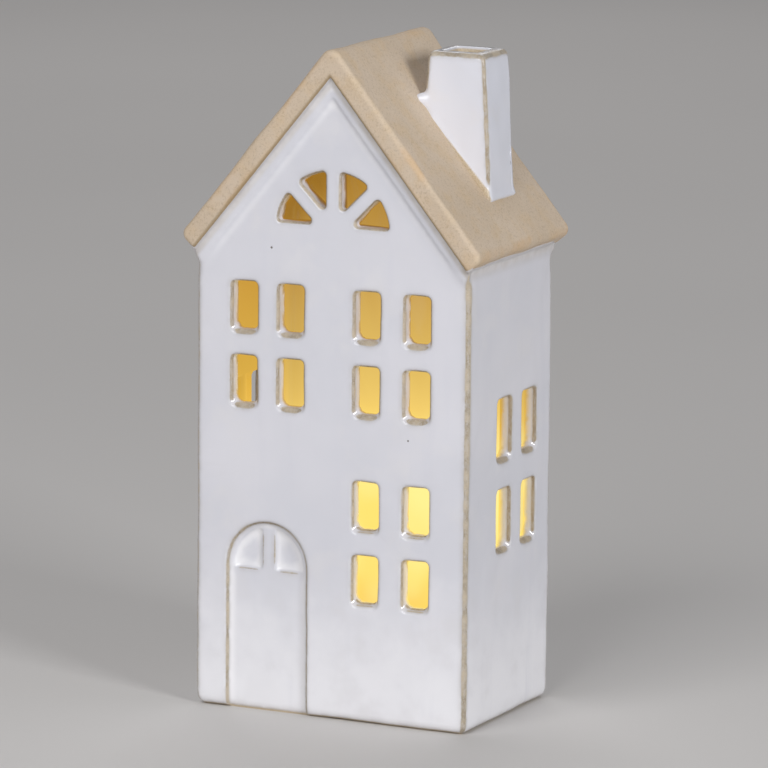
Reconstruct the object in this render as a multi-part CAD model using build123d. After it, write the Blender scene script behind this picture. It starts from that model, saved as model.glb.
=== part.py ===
from build123d import *
import os
from math import ceil, cos, pi, radians, sin, sqrt, tan

# A lit ceramic village house, in millimetres. Z is up and the house stands on Z = 0.
# The gable with the door faces -Y, and the chimney stands on the +X slope of the roof.

# Ceramic walls
wall_width = 100.0
wall_depth = 66.0
eave_height = 155.0
wall_thickness = 4.5
floor_thickness = 4.5
corner_radius = 2.0
inner_corner_radius = 2.0
foot_bevel = 1.0
eave_cove_radius = 3.2
trim_width = 4.2
trim_depth = 0.9

# Ceramic roof
roof_pitch = 50.4
roof_thickness = 7.0
verge_overhang = 2.8
ridge_radius = 4.0
roof_edge_radius = 1.5
eave_edge_radius = 3.0
verge_reveal = 0.5

# Ceramic chimney, sized at its top and in height over the slope along its axis, with the flue through it
chimney_width = 20.6
chimney_depth = 19.8
chimney_height = 30.8
chimney_draft = 3.0
chimney_from_ridge = 29.3
chimney_behind_centre = 7.0
chimney_edge_radius = 2.0
flue_size = 10.5
flue_corner_radius = 1.5

# Windows of the front gable: centres of the columns, and of the rows below the eaves
window_width = 9.2
window_height = 17.0
window_corner = 1.6
left_columns = (-32.2, -15.1)
right_columns = (12.8, 31.1)
upper_row_drops = (18.4, 43.3)
lower_row_drops = (82.0, 106.8)
rim_bevel = 0.8

# Half-round window of the gable, cut as sectors between radial bars
fan_rise = 8.5
fan_radius = 20.5
fan_bar = 5.6
fan_corner = 1.0
fan_sectors = 4

# Windows of the right-hand wall: the left-hand wall is the same panel, turned half round
side_window_width = 10.8
side_window_height = 20.8
side_columns = (-4.4, 15.1)
side_row_drops = (57.0, 87.4)

# Arched door, sunk into the front wall, with two blind panes
door_centre = -23.4
door_width = 28.6
door_height = 64.0
door_recess = 1.8
door_bevel = 1.1
pane_drop = 15.7
pane_margin = 1.5
pane_mullion = 5.0
pane_recess = 1.0
pane_corner = 0.8

# Standard cells
cell_length = 44.5
cell_diameter = 10.5
cell_nub_length = 0.8
cell_nub_diameter = 3.8
cell_bevel = 0.6

# Light module: mouldings
ground_gap = 1.0
base_thickness = 2.4
base_flange = 4.0
base_corner = 3.0
gasket_thickness = 1.0
gasket_edge = 0.5
shell_thickness = 1.6
shell_corner = 2.0
end_pocket = 7.4
electronics_bay = 12.8
cell_play = 0.4
floor_clearance = 0.5
part_clearance = 0.3

# Light module: battery door and fasteners
door_plate = 1.6
door_tongue = 7.0
door_tongue_width = 9.0
hinge_pin_radius = 0.7
hinge_pin_length = 1.6
hinge_pin_height = 1.4
screw_radius = 1.0
screw_head_radius = 1.9
screw_head_height = 1.2
screw_length = 7.0
door_screw_length = 4.4
screw_slot = 0.5
boss_wall = 1.4

# Light module: electrical pieces
contact_thickness = 0.4
contact_height = 8.6
contact_width = 8.4
spring_length = 4.0
spring_turns = 3.5
spring_base_radius = 3.6
spring_tip_radius = 2.2
spring_wire = 0.5
wire_diameter = 1.0
wire_sides = 6
wire_bend = 1.2
wire_lane = 2.6
board_length = 34.0
board_width = 11.0
board_thickness = 1.2
board_corner = 1.0
switch_length = 8.6
switch_width = 4.4
switch_height = 3.6
switch_wall = 0.7
switch_travel = 2.0
switch_lamp_gap = 1.5
knob_length = 2.0
knob_width = 1.6
knob_flange = 0.7
knob_reach = 0.5
knob_corner = 0.4
led_diameter = 5.0
led_length = 8.6
led_flange = 0.4
led_flange_height = 1.0
lead_spacing = 2.54
lead_radius = 0.25
lead_tail = 0.8
lead_clearance = 0.1
chip_size = (4.9, 3.9, 1.5)
resistor_size = (3.2, 1.6, 0.6)

# Heights worked out from the sizes above
base_top = ground_gap + base_thickness
floor_underside = base_top + gasket_thickness
floor_top = floor_underside + floor_thickness
door_top = ground_gap + door_plate
cell_axis = door_top + part_clearance + cell_diameter / 2
shell_ceiling = cell_axis + cell_diameter / 2 + cell_play
shell_top = shell_ceiling + shell_thickness
board_bottom = base_top + switch_height
board_top = board_bottom + board_thickness

# Plan of the module: the cells lie along X, side by side, in front of the electronics
half_width = wall_width / 2
half_depth = wall_depth / 2
cell_pitch = cell_diameter + 2 * cell_play
bay_length = cell_length + spring_length + 2 * contact_thickness + 2 * cell_play
bay_width = 2 * cell_pitch
shell_length = bay_length + 2 * (shell_thickness + end_pocket + shell_thickness)
shell_width = bay_width + electronics_bay + 3 * shell_thickness
shell_front = -shell_width / 2
bay_front = shell_front + shell_thickness
bay_back = bay_front + bay_width
bay_middle = (bay_front + bay_back) / 2
front_cell = bay_front + cell_pitch / 2
rear_cell = bay_back - cell_pitch / 2
electronics_front = bay_back + shell_thickness
electronics_middle = electronics_front + electronics_bay / 2
bay_end = bay_length / 2
pocket_start = bay_end + shell_thickness
boss_radius = screw_radius + boss_wall
corner_screw_x = shell_length / 2 - shell_thickness - screw_radius - boss_wall / 2
corner_screw_y = shell_width / 2 - shell_thickness - screw_radius - boss_wall / 2
corner_screws = [(sx * corner_screw_x, sy * corner_screw_y) for sx in (-1, 1) for sy in (-1, 1)]
door_screw_x = pocket_start + screw_radius + boss_wall / 2 + part_clearance
switch_offset = -(lead_spacing / 2 + lead_radius + switch_lamp_gap + switch_length / 2)
board_post_x = switch_length / 2 - switch_offset + 2 * part_clearance + boss_radius
wire_height = cell_axis + cell_diameter / 4
hinge_x = -bay_end - shell_thickness / 2
hinge_z = ground_gap + hinge_pin_height
base_length = shell_length + 2 * base_flange
base_width = shell_width + 2 * base_flange

# Roof lines seen from the front
slope_down = (cos(radians(roof_pitch)), -sin(radians(roof_pitch)))
slope_out = (sin(radians(roof_pitch)), cos(radians(roof_pitch)))
inner_apex = eave_height + half_width * tan(radians(roof_pitch))
outer_apex = inner_apex + roof_thickness / cos(radians(roof_pitch))
roof_half_depth = half_depth + verge_overhang
roof_under_flue = outer_apex - chimney_from_ridge * tan(radians(roof_pitch))
chimney_top = roof_under_flue + chimney_height

# Places on the walls that hang from the eaves
upper_rows = [eave_height - drop for drop in upper_row_drops]
lower_rows = [eave_height - drop for drop in lower_row_drops]
side_rows = [eave_height - drop for drop in side_row_drops]
fan_centre = eave_height + fan_rise
pane_sill = door_height - pane_drop


def block(x, y, z):
    """A box between two limits on each axis."""
    size = (x[1] - x[0], y[1] - y[0], z[1] - z[0])
    middle = ((x[0] + x[1]) / 2, (y[0] + y[1]) / 2, (z[0] + z[1]) / 2)
    return Pos(*middle) * Box(*size)


def rounded_block(length, width, radius, z, at=(0, 0)):
    """An upright block with rounded corners, between two heights."""
    outline = RectangleRounded(length, width, radius)
    return Pos(at[0], at[1], z[0]) * extrude(outline, amount=z[1] - z[0])


def post(radius, z, at):
    """An upright cylinder between two heights."""
    return Pos(at[0], at[1], (z[0] + z[1]) / 2) * Cylinder(radius, z[1] - z[0])


def from_front(sketch, near, far):
    """A prism of a front-view sketch between two depths along Y."""
    return extrude(Plane.XZ.offset(-near) * sketch, amount=near - far)


def rounded_rectangle(length, height, radius, at):
    """A rectangle with rounded corners, about a point of its sketch."""
    return Pos(at[0], at[1]) * RectangleRounded(length, height, radius)


def wall_silhouette():
    """Front view of the walls: straight sides that curl out under the eaves, and the gable."""
    setback = eave_cove_radius * tan(radians(roof_pitch / 2))
    curl = (half_width + setback * slope_out[0], eave_height + setback * slope_out[1])
    side = Line((half_width, 0), (half_width, eave_height - setback))
    cove = TangentArc(side @ 1, curl, tangent=(0, 1))
    seat = Line(curl, (half_width, eave_height))
    rake = Line((half_width, eave_height), (0, inner_apex))
    half = Curve() + [Line((0, 0), (half_width, 0)), side, cove, seat, rake]
    return make_face(half + mirror(half, about=Plane.YZ))


def rake_trim(silhouette):
    """The raised band along the right-hand rake of the front gable, hollowed where it meets the verge."""
    hollow = verge_overhang - verge_reveal - trim_depth
    section = corner_rectangle(trim_depth, trim_width)
    corner = corner_rectangle(hollow, hollow) - Pos(hollow, -hollow) * Circle(hollow)
    section += Pos(trim_depth, 0) * corner
    rake_end = Vector(half_width, -half_depth, eave_height)
    along = Vector(-slope_down[0], 0, -slope_down[1])
    seat = Plane(origin=rake_end - along * verge_overhang, x_dir=(0, -1, 0), z_dir=along)
    strip = extrude(seat * section, amount=2 * half_width + eave_height)
    limit = from_front(silhouette, -roof_half_depth, 0)
    right_half = block((0, wall_width), (-wall_depth, 0), (0, outer_apex))
    return strip & limit & right_half


def corner_rectangle(length, depth):
    """A rectangle to the right of a point and below it."""
    return Pos(length / 2, -depth / 2) * Rectangle(length, depth)


def fan_window():
    """Sectors of a half disc, set apart by bars of one width."""
    step = 180 / fan_sectors
    sectors = Sketch()
    for i in range(fan_sectors):
        low = radians(i * step)
        high = radians((i + 1) * step)
        tip = fan_bar / 2 / sin(radians(step / 2))
        middle = (low + high) / 2
        far = 2 * fan_radius
        start = (tip * cos(middle), tip * sin(middle))
        first = (start[0] + far * cos(low), start[1] + far * sin(low))
        last = (start[0] + far * cos(high), start[1] + far * sin(high))
        wedge = make_face(Polyline(start, first, last, close=True)) & Circle(fan_radius)
        sectors += fillet(wedge.vertices(), fan_corner)
    return Pos(0, fan_centre) * sectors


def front_windows():
    """All the openings of the front gable, as one front-view sketch."""
    places = [(x, z) for x in left_columns + right_columns for z in upper_rows]
    places += [(x, z) for x in right_columns for z in lower_rows]
    sketch = fan_window()
    for place in places:
        sketch += rounded_rectangle(window_width, window_height, window_corner, place)
    return sketch


def side_windows():
    """The openings of the right-hand wall, as a sketch of Y and Z."""
    sketch = Sketch()
    for y in side_columns:
        for z in side_rows:
            sketch += rounded_rectangle(side_window_width, side_window_height, window_corner, (y, z))
    return sketch


def arched_door():
    """Front view of the door: a rectangle under a half-round head."""
    radius = door_width / 2
    spring = door_height - radius
    below = -foot_bevel
    leaf = Pos(door_centre, (spring + below) / 2) * Rectangle(door_width, spring - below)
    return leaf + Pos(door_centre, spring) * Circle(radius)


def door_panes():
    """The two blind panes in the door's head, each a quarter round."""
    radius = door_width / 2 - pane_margin
    spring = door_height - door_width / 2
    head = Pos(door_centre, spring) * Circle(radius)
    above_sill = Pos(door_centre, pane_sill + radius) * Rectangle(2 * radius, 2 * radius)
    mullion = Pos(door_centre, pane_sill + radius) * Rectangle(pane_mullion, 4 * radius)
    panes = (head & above_sill) - mullion
    return fillet(panes.vertices(), pane_corner)


def make_house_walls():
    """Walls, gables and floor of the house as one casting."""
    silhouette = wall_silhouette()
    body = from_front(silhouette, -half_depth, half_depth)
    corners = [e for e in body.edges().filter_by(Axis.Z) if e.length > eave_height / 2]
    body = fillet(corners, corner_radius)
    foot = body.faces().sort_by(Axis.Z)[0].edges()
    body = chamfer(foot, foot_bevel)
    trim = rake_trim(silhouette)
    trim += mirror(trim, about=Plane.YZ)
    trim += mirror(trim, about=Plane.XZ)
    body += trim

    room_x = wall_width - 2 * wall_thickness
    room_y = wall_depth - 2 * wall_thickness
    body -= rounded_block(room_x, room_y, inner_corner_radius, (floor_top, outer_apex))
    body -= rounded_block(room_x, room_y, inner_corner_radius, (-ground_gap, floor_underside))
    opening_x = shell_length + 2 * floor_clearance
    opening_y = shell_width + 2 * floor_clearance
    body -= rounded_block(opening_x, opening_y, shell_corner, (0, floor_top + ground_gap))

    body -= from_front(front_windows(), -roof_half_depth, 0)
    side = extrude(Plane.YZ * side_windows(), amount=wall_width)
    body -= side + Rot(0, 0, 180) * side
    body = chamfer(window_rims(body), rim_bevel)
    body -= from_front(arched_door(), -roof_half_depth, door_recess - half_depth)
    body = chamfer(door_rim(body), door_bevel)
    panes = from_front(door_panes(), -roof_half_depth, door_recess + pane_recess - half_depth)
    return body - panes


def wall_faces(body, axis):
    """The two outer and two inner faces of the walls across one axis, in order along it."""
    return body.faces().filter_by(axis).sort_by(SortBy.AREA)[-4:].sort_by(axis)


def window_rims(body):
    """Outer edges of the windows in the front wall and the side walls."""
    sides = wall_faces(body, Axis.X)
    walls = [wall_faces(body, Axis.Y)[0], sides[0], sides[-1]]
    return [e for wall in walls for rim in wall.inner_wires() for e in rim.edges()]


def door_rim(body):
    """Edge of the door's recess in the front wall, from the foot over the arch to the foot."""
    front = wall_faces(body, Axis.Y)[0]
    reach = door_width / 2 + door_bevel
    near = [e for e in front.edges() if abs(e.center().X - door_centre) < reach]
    return [e for e in near if foot_bevel < e.center().Z < door_height + door_bevel]


def make_roof():
    """The two slopes as one thick slab over the gables, pierced by the flue."""
    eave_in = (half_width, eave_height)
    eave_out = (half_width + roof_thickness * slope_out[0], eave_height + roof_thickness * slope_out[1])
    right = Polyline((0, inner_apex), eave_in, eave_out, (0, outer_apex))
    section = make_face(right + mirror(right, about=Plane.YZ))
    ridge = section.vertices().sort_by(Axis.Y)[-1]
    section = fillet(ridge, ridge_radius)
    slab = from_front(section, -roof_half_depth, roof_half_depth)
    lips = [e for e in slab.edges().filter_by(Axis.Y) if abs(e.center().X) > half_width + roof_edge_radius]
    slab = fillet(lips, eave_edge_radius)
    slab = fillet(verge_edges(slab), roof_edge_radius)
    return slab - flue_prism()


def verge_edges(slab):
    """Outer edges of the roof's two ends, all but the lines along its underside."""
    ends = [face for face in slab.faces().filter_by(Axis.Y) if abs(face.center().Y) > half_depth]
    return [e for face in ends for e in face.edges() if above_underside(e.center()) > roof_thickness / 4]


def above_underside(point):
    """How far a point lies above the roof's underside, straight up."""
    return point.Z - (inner_apex - abs(point.X) * tan(radians(roof_pitch)))


def flue_prism():
    """The upright square passage of the flue."""
    at = (chimney_from_ridge, chimney_behind_centre)
    return rounded_block(flue_size, flue_size, flue_corner_radius, (0, 2 * outer_apex), at)


def make_chimney():
    """A tapered hollow stack whose foot is cut to the slope of the roof."""
    place = Pos(chimney_from_ridge, chimney_behind_centre, chimney_top)
    rim = place * Rectangle(chimney_width, chimney_depth)
    stack = extrude(rim, amount=eave_height - chimney_top, taper=-chimney_draft)
    upright = stack.edges().group_by(SortBy.LENGTH)[-1]
    stack = fillet(upright, chimney_edge_radius)
    stack = fillet(stack.faces().sort_by(Axis.Z)[-1].edges(), chimney_edge_radius)
    seat = Plane(origin=(0, 0, outer_apex), z_dir=(slope_out[0], 0, slope_out[1]))
    stack = split(stack, bisect_by=seat, keep=Keep.TOP)
    return stack - flue_prism()


def make_base():
    """Bottom plate of the light module, flush round the battery door and the switch."""
    plate = rounded_block(base_length, base_width, base_corner, (ground_gap, base_top))
    plate -= door_outline(part_clearance, (0, base_top + ground_gap))
    for end in (bay_front + part_clearance, bay_back - part_clearance):
        reach = hinge_pin_length + part_clearance
        pocket = hinge_pin_radius + part_clearance
        sides = (hinge_x - pocket, hinge_x + pocket)
        plate -= block(sides, (end - reach, end + reach), (hinge_z - pocket, board_bottom))
    for at in corner_screws:
        plate -= post(screw_radius + part_clearance, (0, base_top + ground_gap), at)
        plate -= post(screw_head_radius + part_clearance, (0, ground_gap + screw_head_height), at)
    slot_length = knob_length + switch_travel + 2 * part_clearance
    slot_width = knob_width + 2 * part_clearance
    at = (switch_offset, electronics_middle)
    plate -= rounded_block(slot_length, slot_width, part_clearance, (0, board_bottom), at)
    for side in (-1, 1):
        at = (side * board_post_x, electronics_middle)
        plate += post(boss_radius, (base_top, board_bottom), at)
    return plate


def door_outline(gap, z):
    """The battery door's outline with a gap all round: a leaf and a tongue for the screw."""
    swing = sqrt(hinge_pin_height**2 + hinge_pin_radius**2)
    back = hinge_x - (swing + part_clearance if gap else hinge_pin_radius)
    edges = (bay_front + part_clearance - gap, bay_back - part_clearance + gap)
    leaf = block((back, bay_end + gap), edges, z)
    tongue_end = bay_end + door_tongue + gap
    half = door_tongue_width / 2 + gap
    tongue = block((0, tongue_end), (bay_middle - half, bay_middle + half), z)
    return leaf + tongue


def make_battery_door():
    """Battery door: a leaf with two hinge pins and a screwed tongue."""
    door = door_outline(0, (ground_gap, door_top))
    pin_span = bay_width - 2 * part_clearance + 2 * hinge_pin_length
    pin = Pos(hinge_x, bay_middle, hinge_z) * Rot(90, 0, 0) * Cylinder(hinge_pin_radius, pin_span)
    door += pin
    at = (door_screw_x, bay_middle)
    door += post(screw_head_radius + boss_wall, (ground_gap, base_top), at)
    door -= post(screw_radius + part_clearance, (0, base_top + ground_gap), at)
    door -= post(screw_head_radius + part_clearance, (0, ground_gap + screw_head_height), at)
    return door


def make_screw(at, length):
    """A pan-headed screw with a cross slot, driven from below."""
    seat = ground_gap + screw_head_height
    head = post(screw_head_radius, (ground_gap, seat), at)
    screw = head + post(screw_radius, (seat, seat + length), at)
    for turn in (0, 90):
        slot = Rot(0, 0, turn) * Box(2 * screw_head_radius - screw_slot, screw_slot, screw_slot)
        screw -= Pos(at[0], at[1], ground_gap + screw_slot / 2) * slot
    return screw


def make_housing():
    """Upper moulding of the light module: a shell with the cell bay and the screw bosses."""
    shell = rounded_block(shell_length, shell_width, shell_corner, (base_top, shell_top))
    inner_x = shell_length - 2 * shell_thickness
    inner_y = shell_width - 2 * shell_thickness
    shell -= rounded_block(inner_x, inner_y, shell_corner / 2, (0, shell_ceiling))
    foot = base_top + part_clearance
    inside_top = shell_top - shell_thickness / 2
    for side in (-1, 1):
        ends = sorted((side * bay_end, side * pocket_start))
        shell += block(ends, (bay_front - shell_thickness / 2, bay_back), (foot, inside_top))
    long_wall = (-pocket_start, pocket_start)
    shell += block(long_wall, (bay_back, electronics_front), (foot, inside_top))
    for at in corner_screws:
        shell += post(boss_radius, (base_top, inside_top), at)
    door_boss = (door_screw_x, bay_middle)
    shell += post(boss_radius, (foot, cell_axis + boss_wall), door_boss)
    seat = ground_gap + screw_head_height
    for at in corner_screws:
        shell -= post(screw_radius, (0, seat + screw_length), at)
    shell -= post(screw_radius + part_clearance, (0, seat + door_screw_length + cell_play), door_boss)
    for y in (front_cell, rear_cell):
        hole = Cylinder(wire_diameter / 2 + part_clearance, 2 * (shell_thickness + cell_play))
        shell -= Pos(bay_end, y, wire_height) * Rot(0, 90, 0) * hole
    lamp_hole = led_diameter / 2 + part_clearance / 2
    shell -= post(lamp_hole, (board_top, shell_top + shell_thickness), (0, electronics_middle))
    return shell


def make_gasket():
    """Soft ring between the module's flange and the ceramic floor."""
    outer_x = base_length - 2 * gasket_edge
    outer_y = base_width - 2 * gasket_edge
    ring = rounded_block(outer_x, outer_y, base_corner, (base_top, floor_underside))
    opening_x = shell_length + 2 * floor_clearance
    opening_y = shell_width + 2 * floor_clearance
    return ring - rounded_block(opening_x, opening_y, shell_corner, (0, floor_top))


def make_cell(y, towards):
    """A cell along X with its raised contact towards one end of the bay."""
    can = cell_length - cell_nub_length
    body = chamfer(Cylinder(cell_diameter / 2, can).edges(), cell_bevel)
    nub = Pos(0, 0, (can + cell_nub_length) / 2) * Cylinder(cell_nub_diameter / 2, cell_nub_length)
    dish = Pos(0, 0, -can / 2) * Cylinder(cell_nub_diameter, cell_bevel)
    cell = body + nub - dish
    plus_end = bay_end - contact_thickness - cell_play
    middle = towards * (plus_end - cell_nub_length - can / 2)
    return Pos(middle, y, cell_axis) * Rot(0, 90 * towards, 0) * cell


def contact_plate(side, y, width):
    """A flat terminal against one end wall of the bay."""
    face = side * (bay_end - contact_thickness / 2)
    return Pos(face, y, cell_axis) * Box(contact_thickness, width, contact_height)


def make_contact_plates():
    """A bridge that joins the two cells at one end, and a terminal for each at the other."""
    bridge = contact_plate(-1, (front_cell + rear_cell) / 2, cell_pitch + contact_width)
    return [bridge, contact_plate(1, front_cell, contact_width), contact_plate(1, rear_cell, contact_width)]


def biarc(start, start_dir, end, end_dir):
    """Two arcs that join two points along two directions."""
    chord = end - start
    both = start_dir + end_dir
    bend = 2 * (1 - start_dir.dot(end_dir))
    reach = (sqrt(chord.dot(both) ** 2 + bend * chord.dot(chord)) - chord.dot(both)) / bend
    first = start + start_dir * reach
    second = end - end_dir * reach
    joint = (first + second) * 0.5
    return [TangentArc(start, joint, tangent=start_dir), TangentArc(joint, end, tangent=second - first)]


def wire_section(start, along, diameter):
    """Section of a wire at its start, with flat sides so that long wires stay light."""
    return Plane(origin=start, z_dir=along) * RegularPolygon(diameter / 2, wire_sides)


def spring_point(turn):
    """Centre of the spring's wire after some turns, with its direction, along +Z."""
    share = turn / spring_turns
    angle = 2 * pi * turn
    rise = spring_length - spring_wire - cell_play
    shrink = spring_tip_radius - spring_base_radius
    radius = spring_base_radius + shrink * share
    point = Vector(radius * cos(angle), radius * sin(angle), spring_wire / 2 + rise * share)
    around = 2 * pi * radius
    slope = shrink / spring_turns
    across = slope * cos(angle) - around * sin(angle)
    beside = slope * sin(angle) + around * cos(angle)
    return point, Vector(across, beside, rise / spring_turns).normalized()


def make_spring(side, y):
    """A conical wire spring that stands on a terminal and presses on a cell's flat end."""
    steps = ceil(2 * spring_turns)
    stops = [spring_point(spring_turns * i / steps) for i in range(steps + 1)]
    arcs = []
    for (start, start_dir), (end, end_dir) in zip(stops, stops[1:]):
        arcs += biarc(start, start_dir, end, end_dir)
    path = Wire(arcs)
    coil = sweep(wire_section(stops[0][0], stops[0][1], spring_wire), path=path)
    face = side * (bay_end - contact_thickness)
    return Pos(face, y, cell_axis) * Rot(0, -90 * side, 0) * coil


def spring_self_gap():
    """Least distance between one turn of the spring and the next, wire to wire."""
    count = 48  # points in each turn
    points = [spring_point(i / count)[0] for i in range(int(count * spring_turns) + 1)]
    half_turn = count // 2
    pairs = [(a, b) for i, a in enumerate(points) for b in points[i + half_turn:]]
    return min((b - a).length for a, b in pairs) - spring_wire


def make_springs():
    """One spring at each cell's flat end."""
    return [make_spring(-1, front_cell), make_spring(1, rear_cell)]


def make_wire(y, lane, board_y):
    """An insulated lead from a terminal's back, round the bay's end, down onto the board."""
    lane_x = pocket_start + lane
    landing = board_length / 2 - 2 * wire_bend
    points = [
        (bay_end, y, wire_height),
        (lane_x, y, wire_height),
        (lane_x, board_y, wire_height),
        (landing, board_y, wire_height),
        (landing, board_y, board_top),
    ]
    path = FilletPolyline(*points, radius=wire_bend)
    return sweep(wire_section(points[0], (1, 0, 0), wire_diameter), path=path)


def lead_places():
    """Where the lamp's two leads stand."""
    return [(side * lead_spacing / 2, electronics_middle) for side in (-1, 1)]


def make_board():
    """Circuit board over the switch, drilled for the lamp's leads."""
    at = (0, electronics_middle)
    board = rounded_block(board_length, board_width, board_corner, (board_bottom, board_top), at)
    for at in lead_places():
        board -= post(lead_radius + lead_clearance, (0, shell_top), at)
    return board


def make_board_components():
    """A timer chip and a resistor on top of the board."""
    side = board_length / 4
    chip = Pos(-side, electronics_middle, board_top + chip_size[2] / 2) * Box(*chip_size)
    resistor = Pos(side, electronics_middle, board_top + resistor_size[2] / 2) * Box(*resistor_size)
    return [chip, resistor]


def knob_rest():
    """X of the knob's middle when the light is on."""
    return switch_offset + switch_travel / 2


def make_switch_body():
    """Case of the slide switch, hollow for its slider and slotted for the knob."""
    body = switch_block(switch_length, switch_width, (base_top, board_bottom))
    room = (base_top + switch_wall, board_bottom - switch_wall)
    body -= switch_block(switch_length - 2 * switch_wall, switch_width - 2 * switch_wall, room)
    slot_length = knob_length + switch_travel + 2 * part_clearance
    slot_width = knob_width + 2 * part_clearance
    return body - switch_block(slot_length, slot_width, (0, base_top + 2 * switch_wall))


def switch_block(length, width, z):
    """A block about the middle of the switch."""
    return Pos(switch_offset, electronics_middle, (z[0] + z[1]) / 2) * Box(length, width, z[1] - z[0])


def make_switch_knob():
    """Knob with a flange that the switch's case keeps in."""
    at = (knob_rest(), electronics_middle)
    foot = base_top + switch_wall + part_clearance
    head = foot + knob_flange
    stem = rounded_block(knob_length, knob_width, knob_corner, (ground_gap - knob_reach, head), at)
    flange_length = knob_length + 2 * knob_flange
    flange_width = knob_width + 2 * knob_flange
    return stem + rounded_block(flange_length, flange_width, knob_corner, (foot, head), at)


def make_led():
    """A domed lamp whose rim is caught under the shell's top."""
    radius = led_diameter / 2
    foot = shell_ceiling - led_flange_height
    rim = post(radius + led_flange, (foot, shell_ceiling), (0, electronics_middle))
    shoulder = foot + led_length - radius
    barrel = post(radius, (foot, shoulder), (0, electronics_middle))
    dome = Pos(0, electronics_middle, shoulder) * Sphere(radius)
    return rim + barrel + dome


def make_leads():
    """The lamp's two leads, from its rim down through the board."""
    foot = board_bottom - lead_tail
    head = shell_ceiling - led_flange_height
    return [post(lead_radius, (foot, head), at) for at in lead_places()]


nodes = {
    "house_walls": make_house_walls(),
    "roof": make_roof(),
    "chimney": make_chimney(),
    "module_base": make_base(),
    "module_housing": make_housing(),
    "module_gasket": make_gasket(),
    "module_screws": [make_screw(at, screw_length) for at in corner_screws],
    "battery_door": make_battery_door(),
    "battery_door_screw": make_screw((door_screw_x, bay_middle), door_screw_length),
    "battery_front": make_cell(front_cell, 1),
    "battery_rear": make_cell(rear_cell, -1),
    "contact_plates": make_contact_plates(),
    "contact_springs": make_springs(),
    "positive_wire": make_wire(front_cell, 2 * wire_lane, electronics_middle),
    "negative_wire": make_wire(rear_cell, wire_lane, electronics_middle - wire_lane),
    "circuit_board": make_board(),
    "board_components": make_board_components(),
    "slide_switch_body": make_switch_body(),
    "switch_knob": make_switch_knob(),
    "led": make_led(),
    "led_leads": make_leads(),
}

os.makedirs("parts", exist_ok=True)
for name, shape in nodes.items():
    solids = shape if isinstance(shape, list) else [shape]
    export_step(Compound(children=solids) if len(solids) > 1 else solids[0], f"parts/{name}.step")
print("spring gap between turns", round(spring_self_gap(), 3))
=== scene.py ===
import math

import bmesh
import bpy
import numpy as np
from mathutils import Matrix, Vector, kdtree


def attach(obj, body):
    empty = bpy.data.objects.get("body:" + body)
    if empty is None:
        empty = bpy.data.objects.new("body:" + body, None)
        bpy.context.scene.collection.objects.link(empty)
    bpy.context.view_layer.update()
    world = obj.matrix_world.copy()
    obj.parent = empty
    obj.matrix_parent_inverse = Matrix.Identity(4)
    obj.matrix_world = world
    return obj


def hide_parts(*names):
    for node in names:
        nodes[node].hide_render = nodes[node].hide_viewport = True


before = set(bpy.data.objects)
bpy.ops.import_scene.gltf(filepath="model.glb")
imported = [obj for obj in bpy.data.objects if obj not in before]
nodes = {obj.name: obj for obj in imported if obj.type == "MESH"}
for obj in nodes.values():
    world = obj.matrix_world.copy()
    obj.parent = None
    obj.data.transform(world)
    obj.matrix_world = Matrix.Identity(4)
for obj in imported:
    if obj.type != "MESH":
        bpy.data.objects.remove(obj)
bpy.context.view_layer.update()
scene = bpy.context.scene

# Main lines of the solids, in metres
MM = 0.001
HALF_WIDTH = 50.0 * MM
HALF_DEPTH = 33.0 * MM
WALL = 4.5 * MM
EAVE = 155.0 * MM
PITCH = math.radians(50.4)
ROOF_THICKNESS = 7.0 * MM
LIP_DEPTH = 35.2 * MM
APEX_IN = EAVE + HALF_WIDTH * math.tan(PITCH)
APEX_OUT = APEX_IN + ROOF_THICKNESS / math.cos(PITCH)
DOWN = (math.cos(PITCH), -math.sin(PITCH))
OUT = (math.sin(PITCH), math.cos(PITCH))
ROOM = (HALF_WIDTH - WALL, HALF_DEPTH - WALL)
CHIMNEY = (29.3 * MM, 7.0 * MM)
CHIMNEY_HALF = (10.3 * MM, 9.9 * MM)

# Heights on the front: over the panes, over the door, between the window groups, and under the fan
PANES_CLEAR = 66.0 * MM
DOOR_CLEAR = 70.0 * MM
MID_HEIGHT = 90.0 * MM
FAN_FOOT = 160.0 * MM

# Columns, rows and half sizes of the windows, in millimetres
FRONT_COLUMNS = (-32.2, -15.1, 12.8, 31.1)
UPPER_ROWS = (136.6, 111.7)
LOWER_ROWS = (73.0, 48.2)
FRONT_HALF = (4.6, 8.5)
SIDE_COLUMNS = (-4.4, 15.1)
SIDE_ROWS = (98.0, 67.6)
SIDE_HALF = (5.4, 10.4)

# Each window: axis across the wall, side of it, centre along the wall, height, half width, half height
WINDOWS = [(1, -1, x, z, *FRONT_HALF) for x in FRONT_COLUMNS for z in UPPER_ROWS]
WINDOWS += [(1, -1, x, z, *FRONT_HALF) for x in FRONT_COLUMNS[2:] for z in LOWER_ROWS]
WINDOWS += [(0, side, side * y, z, *SIDE_HALF) for side in (1, -1) for y in SIDE_COLUMNS for z in SIDE_ROWS]

# Pinholes in the glaze: place, and radius in millimetres
WALL_PINHOLES = [((-22.29 * MM, -33.0 * MM, 157.2 * MM), 0.5), ((28.3 * MM, -33.0 * MM, 97.0 * MM), 0.4)]
CHIMNEY_PINHOLES = [((40.0 * MM, -2.0 * MM, 196.5 * MM), 0.8)]

# Camera, fitted to the photograph
CAMERA_ANGLES = (25.744, 10.455, 0.579)
CAMERA_DISTANCE = 2098.5 * MM
AIM_RIGHT = 3.08 * MM
AIM_HEIGHT = 108.17 * MM
FOCAL_PIXELS = 6286.9
PHOTO_PIXELS = 768
SENSOR = 36.0
LIGHT_AIM = Vector((0.0, 0.0, 0.11))


def detail(full):
    return full


VOXEL = detail(0.45) * MM
WALL_TRIANGLES = detail(240000)
ROOF_TRIANGLES = detail(90000)
CHIMNEY_TRIANGLES = detail(60000)


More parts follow.
